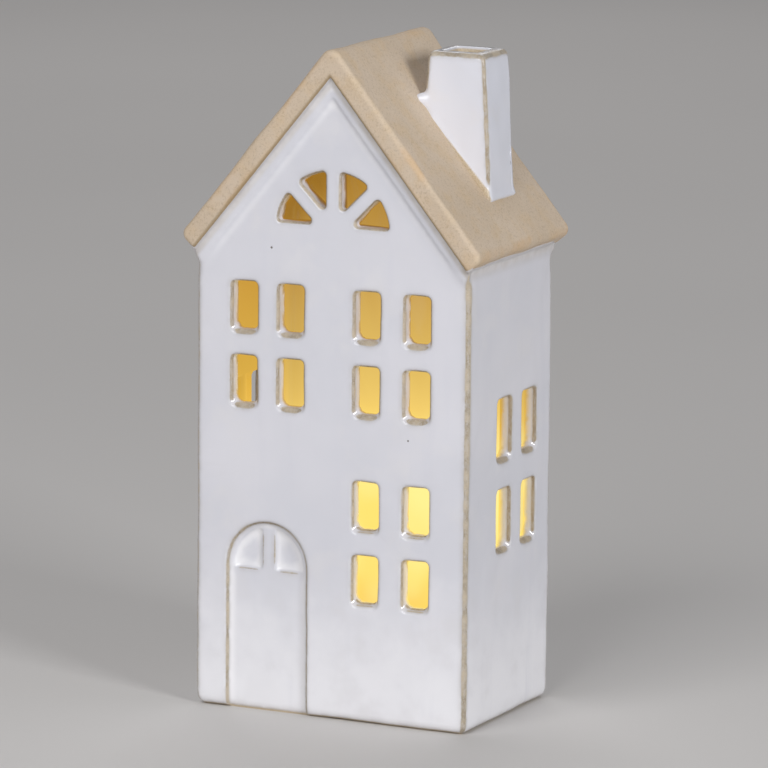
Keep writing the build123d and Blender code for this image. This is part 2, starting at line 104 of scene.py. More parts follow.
def linear(code):
    """Scene-linear colour of a hexadecimal screen colour."""
    parts = [int(code[i:i + 2], 16) / 255 for i in (0, 2, 4)]
    return tuple(c / 12.92 if c <= 0.04045 else ((c + 0.055) / 1.055) ** 2.4 for c in parts)


# Meshes

def solid_copy(node, name):
    """A welded copy of a CAD node as a new object."""
    mesh = nodes[node].data.copy()
    mesh.materials.clear()
    bm = bmesh.new()
    bm.from_mesh(mesh)
    bmesh.ops.remove_doubles(bm, verts=bm.verts, dist=0.002 * MM)
    bm.to_mesh(mesh)
    bm.free()
    obj = bpy.data.objects.new(name, mesh)
    scene.collection.objects.link(obj)
    return obj


def add_blocks(obj, matrices, rounded=False):
    """Adds closed blocks or balls to a mesh that is about to be turned into voxels."""
    bm = bmesh.new()
    bm.from_mesh(obj.data)
    for matrix in matrices:
        if rounded:
            bmesh.ops.create_icosphere(bm, subdivisions=3, radius=1.0, matrix=matrix)
        else:
            bmesh.ops.create_cube(bm, size=1.0, matrix=matrix)
    bm.to_mesh(obj.data)
    bm.free()


def evaluate(obj):
    """Applies the modifiers of an object."""
    depsgraph = bpy.context.evaluated_depsgraph_get()
    mesh = bpy.data.meshes.new_from_object(obj.evaluated_get(depsgraph))
    obj.modifiers.clear()
    obj.data = mesh


def to_voxels(obj, size):
    """Rebuilds the surface on an even grid, so that it can be softened."""
    modifier = obj.modifiers.new("voxels", "REMESH")
    modifier.mode = "VOXEL"
    modifier.voxel_size = size
    evaluate(obj)


def positions(mesh):
    p = np.empty(len(mesh.vertices) * 3, np.float32)
    mesh.vertices.foreach_get("co", p)
    return p.reshape(-1, 3).astype(np.float64)


def place(mesh, p):
    mesh.vertices.foreach_set("co", p.astype(np.float32).ravel())
    mesh.update()


def normals(mesh):
    n = np.empty(len(mesh.vertices) * 3, np.float32)
    mesh.vertex_normals.foreach_get("vector", n)
    return n.reshape(-1, 3).astype(np.float64)


def neighbours(mesh):
    """For each end of each edge, its vertex and the one across."""
    e = np.empty(len(mesh.edges) * 2, np.int32)
    mesh.edges.foreach_get("vertices", e)
    e = e.reshape(-1, 2)
    here = np.concatenate([e[:, 0], e[:, 1]])
    there = np.concatenate([e[:, 1], e[:, 0]])
    return here, there, np.maximum(np.bincount(here, minlength=len(mesh.vertices)), 1)


def average(values, ring):
    """Mean over the neighbours of each vertex."""
    here, there, count = ring
    if values.ndim == 1:
        return np.bincount(here, values[there], len(count)) / count
    return np.stack([np.bincount(here, values[there, k], len(count)) for k in range(3)], 1) / count[:, None]


def relax(p, ring, rounds):
    """Smooths without shrinking."""
    for _ in range(rounds):
        p = p + 0.5 * (average(p, ring) - p)
        p = p - 0.52 * (average(p, ring) - p)
    return p


def bulge(p, n, ring, rounds):
    """How far each point stands proud of the smoothed surface: over 0 on edges, under 0 in corners."""
    q = p
    for _ in range(rounds):
        q = q + 0.7 * (average(q, ring) - q)
    return ((p - q) * n).sum(1)


def pool(mesh, p, ring, rounds, share):
    """Fills inner corners as thick glaze does, and leaves the edges as they are."""
    picked = share[ring[0]] > 0.01
    near = (ring[0][picked], ring[1][picked], ring[2])
    for i in range(rounds):
        if i % 6 == 0:
            place(mesh, p)
            n = normals(mesh)
        lift = ((average(p, near) - p) * n).sum(1) * (share > 0.01)
        p = p + (0.6 * share * np.maximum(lift, 0))[:, None] * n
    place(mesh, p)
    return p


def melt(p, ring, rounds, share):
    """Smooths a part of the surface, edges and corners alike."""
    picked = share[ring[0]] > 0.01
    near = (ring[0][picked], ring[1][picked], ring[2])
    inside = (share > 0.01)[:, None]
    for _ in range(rounds):
        p = p + 0.6 * share[:, None] * (average(p, near) - p) * inside
    return p


def spread(values, ring, rounds):
    """Blurs a field over the surface."""
    for _ in range(rounds):
        values = 0.5 * values + 0.5 * average(values, ring)
    return values


def rounded_rectangle(a, b, half_a, half_b, radius):
    """Distance out of a rounded rectangle in a plane, with the way straight out of it."""
    qa, qb = np.abs(a) - half_a + radius, np.abs(b) - half_b + radius
    corner = np.hypot(np.maximum(qa, 0), np.maximum(qb, 0))
    distance = corner + np.minimum(np.maximum(qa, qb), 0) - radius
    both = (qa > 0) & (qb > 0)
    safe = np.maximum(corner, 1e-9)
    way_a = np.where(both, qa / safe, qa > qb) * np.sign(a)
    way_b = np.where(both, qb / safe, qa <= qb) * np.sign(b)
    return distance, way_a, way_b


def waves(p, size, seed):
    """A smooth uneven field of about -1 to 1, with lumps of the given size."""
    rng = np.random.default_rng(seed)
    total = np.zeros(len(p))
    for _ in range(9):
        direction = rng.normal(size=3)
        direction *= 2 * math.pi / (size * rng.uniform(1.4, 2.8)) / np.linalg.norm(direction)
        total += np.sin(p @ direction + rng.uniform(0, 2 * math.pi))
    return total / 3.0


def step(low, high, value):
    """Smooth step from 0 to 1."""
    t = np.clip((value - low) / (high - low), 0, 1)
    return t * t * (3 - 2 * t)


def store(mesh, name, values):
    attribute = mesh.attributes.new(name, "FLOAT", "POINT")
    attribute.data.foreach_set("value", values.astype(np.float32))


def thin_out(obj, keep, triangles, fields):
    """Drops points where nothing shows, then puts the stored fields back from the dense mesh."""
    dense, smooth = positions(obj.data), normals(obj.data)
    group = obj.vertex_groups.new(name="thin")
    levels = np.round((1 - keep) * 10).astype(int)
    for level in range(1, 11):
        picked = np.flatnonzero(levels == level).tolist()
        if picked:
            group.add(picked, level / 10, "REPLACE")
    faces = sum(len(f.vertices) - 2 for f in obj.data.polygons)
    if faces > triangles:
        modifier = obj.modifiers.new("thin", "DECIMATE")
        modifier.ratio = triangles / faces
        modifier.vertex_group = group.name
        modifier.use_collapse_triangulate = True
        evaluate(obj)
    obj.vertex_groups.clear()
    tree = kdtree.KDTree(len(dense))
    for i, co in enumerate(dense.tolist()):
        tree.insert(co, i)
    tree.balance()
    near = np.array([tree.find(co)[1] for co in positions(obj.data).tolist()])
    for name, values in fields.items():
        store(obj.data, name, values[near])
    obj.data.polygons.foreach_set("use_smooth", [True] * len(obj.data.polygons))
    obj.data.normals_split_custom_set_from_vertices(smooth[near].tolist())
    obj.data.update()


def stands_for(obj, node, material):
    """Shows the object in place of a CAD node, on the same body."""
    obj.data.materials.clear()
    obj.data.materials.append(material)
    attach(obj, "house")
    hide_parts(node)


# Shader nodes

class Shader:
    """A material's node tree with short calls for the nodes used here."""

    def __init__(self, name):
        self.material = bpy.data.materials.new(name)
        self.material.use_nodes = True
        self.tree = self.material.node_tree
        self.tree.nodes.clear()
        self.output = self.tree.nodes.new("ShaderNodeOutputMaterial")
        self.surface = self.tree.nodes.new("ShaderNodeBsdfPrincipled")
        self.tree.links.new(self.surface.outputs[0], self.output.inputs[0])
        self.spot = self.tree.nodes.new("ShaderNodeTexCoord").outputs["Object"]

    def put(self, socket, value):
        if isinstance(value, bpy.types.NodeSocket):
            self.tree.links.new(value, socket)
        elif isinstance(value, tuple) and len(value) == 3 and socket.type == "RGBA":
            socket.default_value = (*value, 1.0)
        else:
            socket.default_value = value

    def set(self, **values):
        for name, value in values.items():
            self.put(self.surface.inputs[name.replace("_", " ")], value)

    def node(self, kind, **values):
        made = self.tree.nodes.new(kind)
        for name, value in values.items():
            setattr(made, name, value)
        return made

    def noise(self, size, octaves=2.0, rough=0.5, spot=None):
        """Noise with lumps of a size in millimetres."""
        n = self.node("ShaderNodeTexNoise")
        self.put(n.inputs["Vector"], spot or self.spot)
        n.inputs["Scale"].default_value = 1 / (size * MM)
        n.inputs["Detail"].default_value = octaves
        n.inputs["Roughness"].default_value = rough
        return n.outputs["Fac"]

    def cells(self, size, spot=None):
        """Distance to the nearest scattered point, in parts of their spacing, and that point's number."""
        n = self.node("ShaderNodeTexVoronoi")
        self.put(n.inputs["Vector"], spot or self.spot)
        n.inputs["Scale"].default_value = 1 / (size * MM)
        return n.outputs["Distance"], n.outputs["Color"]

    def math(self, kind, a, b=0.0):
        n = self.node("ShaderNodeMath", operation=kind)
        self.put(n.inputs[0], a)
        self.put(n.inputs[1], b)
        return n.outputs[0]

    def span(self, value, low, high, to_low=0.0, to_high=1.0, smooth=True):
        n = self.node("ShaderNodeMapRange", interpolation_type="SMOOTHSTEP" if smooth else "LINEAR")
        for name, given in (("Value", value), ("From Min", low), ("From Max", high)):
            self.put(n.inputs[name], given)
        n.inputs["To Min"].default_value = to_low
        n.inputs["To Max"].default_value = to_high
        return n.outputs["Result"]

    def mix(self, share, first, second):
        n = self.node("ShaderNodeMix", data_type="RGBA")
        self.put(n.inputs["Factor"], share)
        colours = [s for s in n.inputs if s.type == "RGBA"]
        self.put(colours[0], first)
        self.put(colours[1], second)
        return [s for s in n.outputs if s.type == "RGBA"][0]

    def ramp(self, value, stops):
        n = self.node("ShaderNodeValToRGB")
        self.put(n.inputs[0], value)
        elements = n.color_ramp.elements
        while len(elements) < len(stops):
            elements.new(0.5)
        for element, (where, colour) in zip(elements, stops):
            element.position = where
            element.color = (*colour, 1.0)
        return n.outputs[0]

    def field(self, name):
        return self.node("ShaderNodeAttribute", attribute_name=name).outputs["Fac"]

    def axis(self, name):
        n = self.node("ShaderNodeSeparateXYZ")
        self.put(n.inputs[0], self.spot)
        return n.outputs[name]

    def stretched(self, x, y, z):
        n = self.node("ShaderNodeMapping")
        self.put(n.inputs["Vector"], self.spot)
        n.inputs["Scale"].default_value = (x, y, z)
        return n.outputs[0]

    def dot(self, spot, size):
        """A round mark about a spot, with a radius in millimetres."""
        n = self.node("ShaderNodeVectorMath", operation="DISTANCE")
        self.put(n.inputs[0], self.spot)
        n.inputs[1].default_value = spot
        return self.span(n.outputs["Value"], 0.5 * size * MM, size * MM, 1.0, 0.0)

    def bump(self, height, depth, strength=1.0, under=None):
        """A normal from a height of 0 to 1 that stands for a depth in millimetres."""
        n = self.node("ShaderNodeBump")
        n.inputs["Strength"].default_value = strength
        n.inputs["Distance"].default_value = depth * MM
        self.put(n.inputs["Height"], height)
        if under is not None:
            self.put(n.inputs["Normal"], under)
        return n.outputs[0]


# Glaze colours, chosen by comparing renders with the photograph
GLAZE = linear("e4e3e9")
GLAZE_COOL = linear("dddde4")
GLAZE_WARM = linear("e7e5e7")
THIN = linear("bab5b1")
BREAK = linear("bfb19b")
BREAK_LIGHT = linear("c9c0b2")
BREAK_DARK = linear("9e917d")
BROWN = linear("8d7755")
# Near-black base colour of the inner faces, which take their colour from painted lamp light.
LIT_BASE = linear("100b03")


def glaze_material(name, lit, marks):
    """White gloss glaze that breaks to tan over edges, with some bare clay and whiter pooled glaze in
    hollows; painted light and shade make it greyer toward the top, whiter at the foot and in the hollows,
    darker under the roof and on rims turned from the light, and give the walls a painted glow of lamp light
    inside.
    """
    s = Shader(name)
    worn, dark, halo = s.field("worn"), s.field("dark"), s.field("halo")
    hollow, roof_shadow_and_thin_glaze, bare = s.field("hollow"), s.field("roof_shadow_and_thin_glaze"), s.field("bare")
    drift = s.noise(46, 2)
    cloud = s.noise(13, 3)
    mid = s.noise(4.5, 3, 0.55)
    fine = s.noise(0.9, 3, 0.6)
    grain = s.noise(0.42, 2, 0.6)
    runs = s.noise(7.0, 3, 0.5, s.stretched(1.0, 1.0, 0.1))

    tone = s.mix(s.span(drift, 0.35, 0.65), GLAZE_COOL, GLAZE)
    # Painted light and shade by height: the walls are painted greyer toward the top and whiter at the foot,
    # standing in for light bounced from the floor; the chimney is painted paler, as painted bounce light.
    shade_height = s.math("ADD", s.axis("Z"), s.math("MULTIPLY", s.math("SUBTRACT", cloud, 0.5), 0.04))
    tone = s.mix(s.span(shade_height, 0.09, 0.21, 0.0, 0.55), tone, linear("d3d3da" if lit else "e9ebf4"))
    tone = s.mix(s.span(shade_height, 0.0, 0.06, 0.9, 0.0), tone, linear("f9f8fb"))
    tone = s.mix(s.math("MULTIPLY", s.span(cloud, 0.5, 0.75), 0.4), tone, GLAZE_WARM)
    tone = s.mix(s.math("MULTIPLY", s.span(runs, 0.52, 0.8), 0.35), tone, linear("d8d8e1"))
    # Hollows are whiter where the glaze pools, and are pushed brighter still as a painted highlight of the
    # light falling into them.
    tone = s.mix(s.math("MULTIPLY", s.span(hollow, 0.1, 0.7), 0.85), tone, linear("fbfafc"))
    patchy = s.span(mid, 0.3, 0.65, 0.45, 0.9)
    tone = s.mix(s.math("MULTIPLY", halo, patchy), tone, THIN)
    # Painted shadow of the roof's overhang along the rakes and eaves, together with the glaze thinning beside
    # the roof's seam.
    tone = s.mix(s.math("MULTIPLY", roof_shadow_and_thin_glaze, s.span(mid, 0.3, 0.7, 0.5, 0.75)), tone, linear("bbb2a9"))

    ragged = s.math("ADD", worn, s.math("MULTIPLY", s.math("SUBTRACT", fine, 0.5), 0.45))
    ragged = s.math("ADD", ragged, s.math("MULTIPLY", s.math("SUBTRACT", mid, 0.5), 0.5))
    streak = s.noise(0.7, 3, 0.6, s.stretched(1.0, 1.0, 0.3))
    shown = s.math("MULTIPLY", s.span(ragged, 0.3, 0.8), s.span(streak, 0.36, 0.56, 0.7, 1.0))
    rim = s.mix(s.span(mid, 0.35, 0.65), BREAK_DARK, BREAK)
    rim = s.mix(s.math("MULTIPLY", s.span(grain, 0.5, 0.72), 0.7), rim, BREAK_LIGHT)
    rim = s.mix(s.math("MULTIPLY", s.span(fine, 0.58, 0.75), 0.3), rim, BROWN)
    # Darker brown where the dark field is set; on the walls this is mostly painted shade on rim faces turned
    # from the light.
    rim = s.mix(s.math("MULTIPLY", dark, 0.75), rim, BROWN)
    tone = s.mix(shown, tone, rim)

    clay = s.mix(s.span(grain, 0.35, 0.65), linear("b9a588"), linear("cdbda3"))
    tone = s.mix(bare, tone, clay)
    pit = 0.0
    for spot, size in marks:
        pit = s.math("MAXIMUM", pit, s.dot(spot, size))
    distance, number = s.cells(24.0)
    rare = s.math("GREATER_THAN", number, 0.72)
    speck = s.math("MULTIPLY", s.span(distance, 0.006, 0.012, 1.0, 0.0), rare)
    pit = s.math("MAXIMUM", pit, speck)
    tone = s.mix(s.math("MULTIPLY", pit, 0.85), tone, linear("5f5545"))
    # Painted lamp light: the inner faces get a near-black base colour and a glow that stands in for the light
    # of the lamp inside.
    if lit:
        room = s.field("room")
        tone = s.mix(room, tone, LIT_BASE)
        glow = lamp_glow(s, wall_corner_shade(s))
        s.set(Emission_Color=s.mix(room, (0.0, 0.0, 0.0), glow), Emission_Strength=lamp_power(s))
    dull = s.math("MAXIMUM", shown, bare)
    gloss = s.span(drift, 0.3, 0.7, 0.11, 0.17)
    rough = s.math("ADD", gloss, s.math("MULTIPLY", dull, 0.4))
    peel = s.noise(3.2, 2, 0.5)
    normal = s.bump(peel, 0.07, 0.3)
    normal = s.bump(s.math("MULTIPLY", grain, dull), 0.10, 0.6, normal)
    normal = s.bump(s.math("SUBTRACT", 1.0, pit), 0.25, 0.7, normal)
    s.set(Base_Color=tone, Roughness=rough, Normal=normal, IOR=1.52, Coat_Weight=0.2, Coat_Roughness=0.08)
    return s.material


def lamp_glow(s, corner_shade):
    """Painted light on the inner faces: brightest over the lamp, deeper up to the roof, paler on the back
    wall, with painted shade in the room's corners.
    """
    glow_height = s.span(s.axis("Z"), 0.0, 0.22, smooth=False)
    side = s.ramp(glow_height, [
        (0.05, linear("e2aa42")), (0.16, linear("f9cd60")), (0.24, linear("fddc78")),
        (0.35, linear("fbd468")), (0.43, linear("e0b24a")), (0.51, linear("d3a540")),
        (0.62, linear("c69638")), (0.78, linear("a8782c")), (0.95, linear("7d5418"))])
    back = s.ramp(glow_height, [
        (0.05, linear("e6b65a")), (0.17, linear("fcda70")), (0.25, linear("fee588")),
        (0.35, linear("fde78a")), (0.43, linear("f0cb6c")), (0.51, linear("e5bf64")),
        (0.62, linear("cfa555")), (0.78, linear("ab7d30")), (0.95, linear("80581c"))])
    glow = s.mix(s.span(s.axis("Y"), 17.0 * MM, 28.3 * MM), side, back)
    blot = s.noise(27, 1, 0.5)
    low = s.span(s.axis("Z"), 0.08, 0.1, 0.6, 0.0)
    glow = s.mix(s.math("MULTIPLY", s.span(blot, 0.45, 0.65), low), glow, linear("fdd75e"))
    glow = s.mix(s.math("MULTIPLY", s.span(blot, 0.52, 0.36), low), glow, linear("ffec94"))
    # Painted shade in the room's corners and under its ceiling.
    return s.mix(s.math("MULTIPLY", corner_shade, 0.62), glow, linear("8a5d16"))


def wall_corner_shade(s):
    """Nearness to the room's upright corners and to its sloping ceiling, where the inner faces get painted
    shade.
    """
    along_x = s.math("SUBTRACT", ROOM[0], s.math("ABSOLUTE", s.axis("X")))
    along_y = s.math("SUBTRACT", ROOM[1], s.math("ABSOLUTE", s.axis("Y")))
    upright = s.span(s.math("MAXIMUM", along_x, along_y), 0.5 * MM, 11.0 * MM, 0.35, 0.0)
    fall = s.math("MULTIPLY", s.math("ABSOLUTE", s.axis("X")), math.tan(PITCH))
    ceiling = s.math("SUBTRACT", APEX_IN, fall)
    under = s.math("SUBTRACT", ceiling, s.axis("Z"))
    return s.math("MAXIMUM", upright, s.span(under, 0.8 * MM, 18.0 * MM, 1.0, 0.0))


def lamp_power(s):
    """Strength of the light on the inner faces, a little higher beside the lamp."""
    return s.span(s.axis("Z"), 0.08, 0.11, 1.06, 0.91)


def stoneware_material():
    """Unglazed clay with a fine grain, a little warmer near its edges, with a painted highlight along them,
    painted lamp light on the faces inside the house and painted shade in the corners there.
    """
    s = Shader("bare_stoneware")
    edge, seam, room = s.field("edge"), s.field("seam"), s.field("room")
    cloud = s.noise(24, 3, 0.5)
    patch = s.noise(7.0, 3, 0.55)
    grain = s.noise(0.8, 4, 0.7)
    fine = s.noise(0.36, 2, 0.6)
    tone = s.mix(s.span(cloud, 0.35, 0.65), linear("ccb9a2"), linear("d2c0ab"))
    tone = s.mix(s.math("MULTIPLY", s.span(patch, 0.42, 0.7), 0.55), tone, linear("d0b795"))
    tone = s.mix(s.math("MULTIPLY", s.span(grain, 0.48, 0.7), 0.45), tone, linear("a48f76"))
    tone = s.mix(s.math("MULTIPLY", s.span(fine, 0.5, 0.72), 0.45), tone, linear("dccdb9"))
    ragged = s.math("ADD", edge, s.math("MULTIPLY", s.math("SUBTRACT", patch, 0.5), 0.5))
    # Painted highlight: the clay is painted lighter along its edges, where the arrises catch the light.
    tone = s.mix(s.math("MULTIPLY", s.span(ragged, 0.35, 0.95), 0.35), tone, linear("d8c6ac"))
    gold = s.math("MULTIPLY", s.span(ragged, 0.0, 0.6), s.span(cloud, 0.48, 0.66))
    tone = s.mix(s.math("MULTIPLY", gold, 0.55), tone, linear("d0aa7a"))
    tone = s.mix(s.math("MULTIPLY", seam, 0.75), tone, linear("8f7957"))
    distance, number = s.cells(2.2)
    dot = s.math("MULTIPLY", s.span(distance, 0.06, 0.13, 1.0, 0.0), s.math("GREATER_THAN", number, 0.66))
    tone = s.mix(s.math("MULTIPLY", dot, 0.2), tone, linear("8d775a"))
    distance, number = s.cells(7.5)
    dot = s.math("MULTIPLY", s.span(distance, 0.03, 0.055, 1.0, 0.0), s.math("GREATER_THAN", number, 0.7))
    tone = s.mix(s.math("MULTIPLY", dot, 0.35), tone, linear("7b6448"))
    # Painted lamp light: the roof's underside inside the house gets a near-black base colour and a glow that
    # stands in for the lamp's light.
    tone = s.mix(room, tone, LIT_BASE)
    glow = lamp_glow(s, s.field("corner_shade"))
    s.set(Emission_Color=s.mix(room, (0.0, 0.0, 0.0), glow), Emission_Strength=lamp_power(s))
    under = s.bump(cloud, 0.2, 0.3)
    normal = s.bump(s.math("ADD", grain, s.math("MULTIPLY", fine, 0.5)), 0.09, 0.6, under)
    s.set(Base_Color=tone, Roughness=s.span(grain, 0.3, 0.7, 0.76, 0.92), Normal=normal, IOR=1.45)
    s.surface.inputs["Specular IOR Level"].default_value = 0.3
    return s.material


def plastic_material(name, dark, light, rough, texture=0.6, depth=0.03):
    """Moulded plastic with a fine spark-eroded texture and faint flow marks."""
    s = Shader(name)
    cloud = s.noise(11, 2)
    grain = s.noise(texture, 3, 0.6)
    scuff = s.noise(3.0, 4, 0.65, s.stretched(0.25, 1.0, 1.0))
    tone = s.mix(s.span(cloud, 0.3, 0.7), linear(dark), linear(light))
    tone = s.mix(s.math("MULTIPLY", s.span(scuff, 0.6, 0.8), 0.18), tone, linear(light))
    s.set(Base_Color=tone, Roughness=s.span(scuff, 0.3, 0.75, rough - 0.07, rough + 0.1),
          Normal=s.bump(grain, depth, 0.6), IOR=1.5)
    return s.material


def metal_material(name, dark, light, rough):
    """Plated steel with fine drawn lines and a little tarnish."""
    s = Shader(name)
    lines = s.noise(0.5, 3, 0.6, s.stretched(1.0, 1.0, 7.0))
    tarnish = s.noise(1.8, 3, 0.6)
    tone = s.mix(s.span(tarnish, 0.35, 0.7), linear(light), linear(dark))
    s.set(Base_Color=tone, Metallic=1.0, Roughness=s.span(lines, 0.3, 0.7, rough - 0.08, rough + 0.12),
          Normal=s.bump(lines, 0.01, 0.4))
    return s.material


def foam_material():
    """Closed-cell foam of the gasket."""
    s = Shader("gasket_foam")
    distance, _ = s.cells(0.5)
    pores = s.span(distance, 0.1, 0.5)
    tone = s.mix(pores, linear("1c1c1d"), linear("3a3a3b"))
    s.set(Base_Color=tone, Roughness=s.span(pores, 0.0, 1.0, 0.95, 0.8), Normal=s.bump(pores, 0.12, 0.8))
    return s.material


def cell_material():
    """Plain jacket of a cell: a dark barrel, a copper-coloured band and bare steel ends."""
    s = Shader("cell_jacket")
    along = s.math("ABSOLUTE", s.axis("X"))
    scratch = s.noise(1.2, 4, 0.65, s.stretched(0.2, 1.0, 1.0))
    end = s.span(along, 21.4 * MM, 21.6 * MM)
    band = s.span(along, 14.9 * MM, 15.1 * MM)
    barrel = s.mix(s.span(scratch, 0.3, 0.7), linear("23262b"), linear("30343a"))
    copper = s.mix(s.span(scratch, 0.3, 0.7), linear("a86a34"), linear("bd8148"))
    steel = s.mix(s.span(scratch, 0.3, 0.7), linear("b9bab8"), linear("d2d2d0"))
    tone = s.mix(end, s.mix(band, barrel, copper), steel)
    s.set(Base_Color=tone, Metallic=0.75, Roughness=s.span(scratch, 0.3, 0.75, 0.26, 0.44),
          Normal=s.bump(scratch, 0.01, 0.4))
    return s.material


def board_material():
    """Green laminate with copper tracks under the lacquer."""
    s = Shader("board_laminate")
    weave = s.noise(0.7, 2, 0.5, s.stretched(1.0, 3.0, 1.0))
    distance, _ = s.cells(3.0, s.stretched(1.0, 2.4, 0.1))
    track = s.span(distance, 0.42, 0.46)
    tone = s.mix(s.span(weave, 0.35, 0.65), linear("17502c"), linear("1d5f35"))
    tone = s.mix(s.math("MULTIPLY", track, 0.6), tone, linear("2f7a48"))
    s.set(Base_Color=tone, Roughness=s.span(weave, 0.3, 0.7, 0.28, 0.42), Normal=s.bump(track, 0.03, 0.6))
    return s.material


def lens_material():
    """Warm lit epoxy of the lamp, brightest inside its dome."""
    s = Shader("lamp_lens")
    rise = s.span(s.axis("Z"), 13.5 * MM, 20.5 * MM)
    cloud = s.noise(1.5, 2)
    tone = s.mix(s.span(cloud, 0.3, 0.7), linear("ffd27a"), linear("ffe2a4"))
    glow = s.mix(rise, linear("ff9d2e"), linear("ffe9b0"))
    s.set(Base_Color=tone, Roughness=s.span(cloud, 0.3, 0.7, 0.06, 0.12), Emission_Color=glow,
          Emission_Strength=3.0, IOR=1.54, Normal=s.bump(cloud, 0.01, 0.3))
    return s.material


# Walls, roof and chimney

def slope_turn(side):
    """Turns X down one slope of the roof and Z straight out of it."""
    return Matrix(((side * DOWN[0], 0, side * OUT[0]), (0, 1, 0), (DOWN[1], 0, OUT[1]))).to_4x4()


def below_slope(p):
    """Distance of points under the plane of the roof's underside."""
    return (APEX_IN - np.abs(p[:, 0]) * math.tan(PITCH) - p[:, 2]) * math.cos(PITCH)


def above_slope(p, apex):
    """Distance of points over a slope whose apex is at the given height."""
    return (p[:, 2] - apex + np.abs(p[:, 0]) * math.tan(PITCH)) * math.cos(PITCH)


def trim_windows(p, n, depth):
    """Lifts the sills and rounds the reveals with glaze; gives each point's place in its window as well."""
    across = np.full(len(p), 9.0)
    upward = np.full(len(p), 9.0)
    for axis, side, centre, height, half_a, half_b in WINDOWS:
        a = p[:, 1 - axis] - centre * MM
        b = p[:, 2] - height * MM
        margin = 2.5 * MM
        near = (np.abs(a) < half_a * MM + margin) & (np.abs(b) < half_b * MM + margin)
        near &= (p[:, axis] * side > ROOM[axis] - 0.3 * MM)
        i = np.flatnonzero(near)
        across[i] = a[i] / (half_a * MM)
        upward[i] = b[i] / (half_b * MM)
        i = i[(np.abs(n[i, axis]) < 0.85) & (depth[i] > 0.15 * MM)]
        run = step(0.2 * MM, 2.0 * MM, depth[i])
        sill, jamb = 0.9 * MM * run, 0.25 * MM * run
        radius = (0.8 + np.where(b[i] < 0, 1.9, 0.9) * run) * MM
        distance, way_a, way_b = rounded_rectangle(
            a[i], b[i] - sill / 2, half_a * MM - jamb, half_b * MM - sill / 2, radius)
        square = np.clip(distance, -0.5 * MM, 0) * step(0.3 * MM, 0.8 * MM, depth[i])
        move = np.clip(distance, 0, 1.6 * MM) * run + square
        p[i, 1 - axis] -= move * way_a
        p[i, 2] -= move * way_b
    return across, upward


def wall_place(p):
    """Which wall a point belongs to, and how deep it lies under that wall's outer face."""
    out = np.abs(p[:, :2]) - np.array(ROOM)
    return out[:, 1] > out[:, 0], WALL - out.max(1)


def lip_slabs():
    """Thin slabs on both slopes that carry the top of the walls out to a lip under the verges."""
    length = HALF_WIDTH / math.cos(PITCH) + 1.0 * MM
    low, high = -0.2 * MM, 2.4 * MM
    middle = Matrix.Translation((0.15 * MM - length / 2, 0, (low + high) / 2))
    size = Matrix.Diagonal((length, 2 * LIP_DEPTH, high - low, 1.0))
    eaves = [(side, Matrix.Translation((side * HALF_WIDTH, 0, EAVE))) for side in (1, -1)]
    return [eave @ slope_turn(side) @ middle @ size for side, eave in eaves]


def soften_walls(mesh, p, ring):
    """Rounds the walls as thick glaze does; gives the points, the glazed share and each place in a window."""
    front, depth = wall_place(p)
    across, upward = trim_windows(p, normals(mesh), depth)
    outer = step(4.2 * MM, 3.2 * MM, depth)
    x, y, z = np.abs(p[:, 0]), np.abs(p[:, 1]), p[:, 2]
    rake = below_slope(p)
    skin = depth < 1.5 * MM
    border = step(1.2 * MM, 2.6 * MM, rake) * step(7.0 * MM, 5.0 * MM, rake)
    border = border * front * (y > HALF_DEPTH - 1.0 * MM)
    ends = step(9.0 * MM, 4.0 * MM, HALF_WIDTH - x) * step(12.0 * MM, 6.0 * MM, EAVE - z) * outer
    ends *= step(1.0 * MM, 2.2 * MM, rake) * step(10.0 * MM, 5.0 * MM, HALF_DEPTH - y)
    p = melt(p, ring, detail(9), 0.5 * border * skin)
    p = melt(p, ring, detail(26), ends * skin)
    crisp = (np.abs(across) < 2) * step(2.2 * MM, 1.2 * MM, depth)
    p = pool(mesh, p, ring, detail(14), outer * (1 - 0.75 * crisp))
    return p, outer, across, upward


